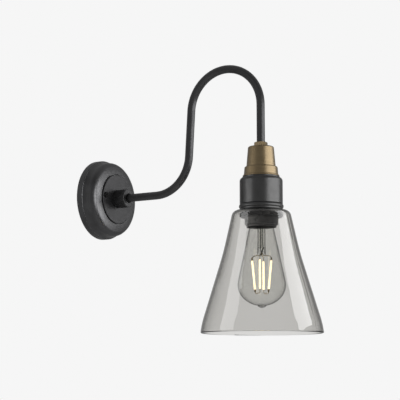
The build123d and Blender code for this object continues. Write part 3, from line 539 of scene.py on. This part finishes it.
def in_plain_view(tree):
    """1 for what the camera sees straight or only through glass, 0 for what surfaces mirror."""
    path = tree.nodes.new("ShaderNodeLightPath")
    straight = number(tree, "LESS_THAN", path.outputs["Glossy Depth"], 0.5)
    through = number(tree, "MULTIPLY", path.outputs["Is Transmission Ray"], straight)
    return number(tree, "MAXIMUM", path.outputs["Is Camera Ray"], through)


world = bpy.data.worlds.new("studio")
bpy.context.scene.world = world
world.use_nodes = True
room = world.node_tree
outlook = room.nodes.new("ShaderNodeTexCoord")
facing = room.nodes.new("ShaderNodeVectorMath")
facing.operation = "DOT_PRODUCT"
facing.inputs[1].default_value = AWAY
room.links.new(outlook.outputs["Generated"], facing.inputs[0])
place = room.nodes.new("ShaderNodeMapRange")
place.inputs["From Min"].default_value = -1.0
place.inputs["From Max"].default_value = 1.0
room.links.new(facing.outputs["Value"], place.inputs["Value"])
light = room.nodes.new("ShaderNodeMix")
light.data_type = "RGBA"
light.inputs["B"].default_value = (BACKDROP, BACKDROP, BACKDROP, 1)
room.links.new(in_plain_view(room), light.inputs["Factor"])
room.links.new(room_ramp(room, place.outputs["Result"], MIRRORED), light.inputs["A"])
room.links.new(light.outputs["Result"], room.nodes["Background"].inputs["Color"])


# Lamps

def softbox(name, turns, heights, glow, flagged, flags="INCLUDE", reach=2.0):
    """A soft lamp, as bright as glow, that fills two spans of degrees: right of the camera, and up.

    Flags keep its light on the nodes in flagged, or off them. Reach is its distance in metres.
    """
    turn, half_turn = radians(sum(turns) / 2), radians(turns[1] - turns[0]) / 2
    height, half_height = radians(sum(heights) / 2), radians(heights[1] - heights[0]) / 2
    toward = Vector((-AWAY.x, -AWAY.y, 0)).normalized()
    out = (toward * cos(turn) + RIGHT * sin(turn)) * cos(height) + Vector((0, 0, sin(height)))
    lamp = bpy.data.lights.new(name, "AREA")
    lamp.shape = "RECTANGLE"
    lamp.size = 2 * reach * cos(height) * tan(half_turn)
    lamp.size_y = 2 * reach * tan(half_height)
    lamp.energy = glow * pi * lamp.size * lamp.size_y
    box = bpy.data.objects.new(name, lamp)
    box.location = HEAD + out * reach
    box.rotation_mode = "QUATERNION"
    box.rotation_quaternion = (-out).to_track_quat("-Z", "Y")
    box.visible_camera = False
    box.visible_transmission = False
    bpy.context.scene.collection.objects.link(box)
    group = bpy.data.collections.new(name)
    for node in flagged:
        group.objects.link(nodes[node])
    for member in group.collection_objects:
        member.light_linking.link_state = flags
    box.light_linking.receiver_collection = group


# pieces that share their lamps
GLASS = ("glass_shade", "bulb_glass")
HOLDER = ("holder_sleeve", "brass_cap", "top_lock_nut")

softbox("front_softbox", (-60, 30), (-25, 45), 0.22, GLASS, "EXCLUDE")
softbox("right_low_softbox", (30, 106), (-12, 20), 2.3, GLASS, "EXCLUDE")
softbox("right_middle_softbox", (34, 114), (19, 30), 2.2, HOLDER)
softbox("right_high_softbox", (67, 111), (12, 46), 5.2, GLASS)
softbox("left_high_softbox", (-90, -57), (12, 44), 3.0, GLASS)
softbox("left_low_softbox", (-92, -55), (-12, 15), 1.5, HOLDER)
softbox("skirt_softbox", (-120, -40), (-14, 13), 15.0, ("lampholder_body",))
softbox("plate_softbox", (36, 96), (-6, 24), 3.8, ("wall_plate",))
softbox("plate_left_softbox", (-110, -50), (-35, 35), 0.18, ("wall_plate", "tube_boss"))


# Floor

ground = bmesh.new()
bmesh.ops.create_circle(ground, cap_ends=True, radius=FLOOR_R, segments=FLOOR_SIDES)
bmesh.ops.translate(ground, vec=(0, 0, FLOOR_LEVEL), verts=ground.verts)
floor_mesh = bpy.data.meshes.new("floor")
ground.to_mesh(floor_mesh)
ground.free()
floor = bpy.data.objects.new("floor", floor_mesh)
bpy.context.scene.collection.objects.link(floor)
pale, tree, shader = new_finish("pale_floor")
tones(tree, mottle(tree, size=200), (0.80, 0.80, 0.80), (0.82, 0.82, 0.82), shader.inputs["Base Color"])
shader.inputs["Roughness"].default_value = 0.8
shader.inputs["Emission Color"].default_value = (1, 1, 1, 1)
glow = number(tree, "MULTIPLY", in_plain_view(tree), FLOOR_GLOW)
tree.links.new(glow, shader.inputs["Emission Strength"])
floor_mesh.materials.append(pale)


# Camera

camera = bpy.data.cameras.new("photo_view")
camera.lens = LENS
camera.sensor_width = SENSOR
viewer = bpy.data.objects.new("photo_view", camera)
viewer.location = CAMERA
viewer.rotation_mode = "QUATERNION"
viewer.rotation_quaternion = AWAY.to_track_quat("-Z", "Y")
bpy.context.scene.collection.objects.link(viewer)
bpy.context.scene.camera = viewer
bpy.context.scene.view_settings.view_transform = "Standard"
bpy.context.scene.cycles.max_bounces = BOUNCES
bpy.context.scene.cycles.transmission_bounces = BOUNCES
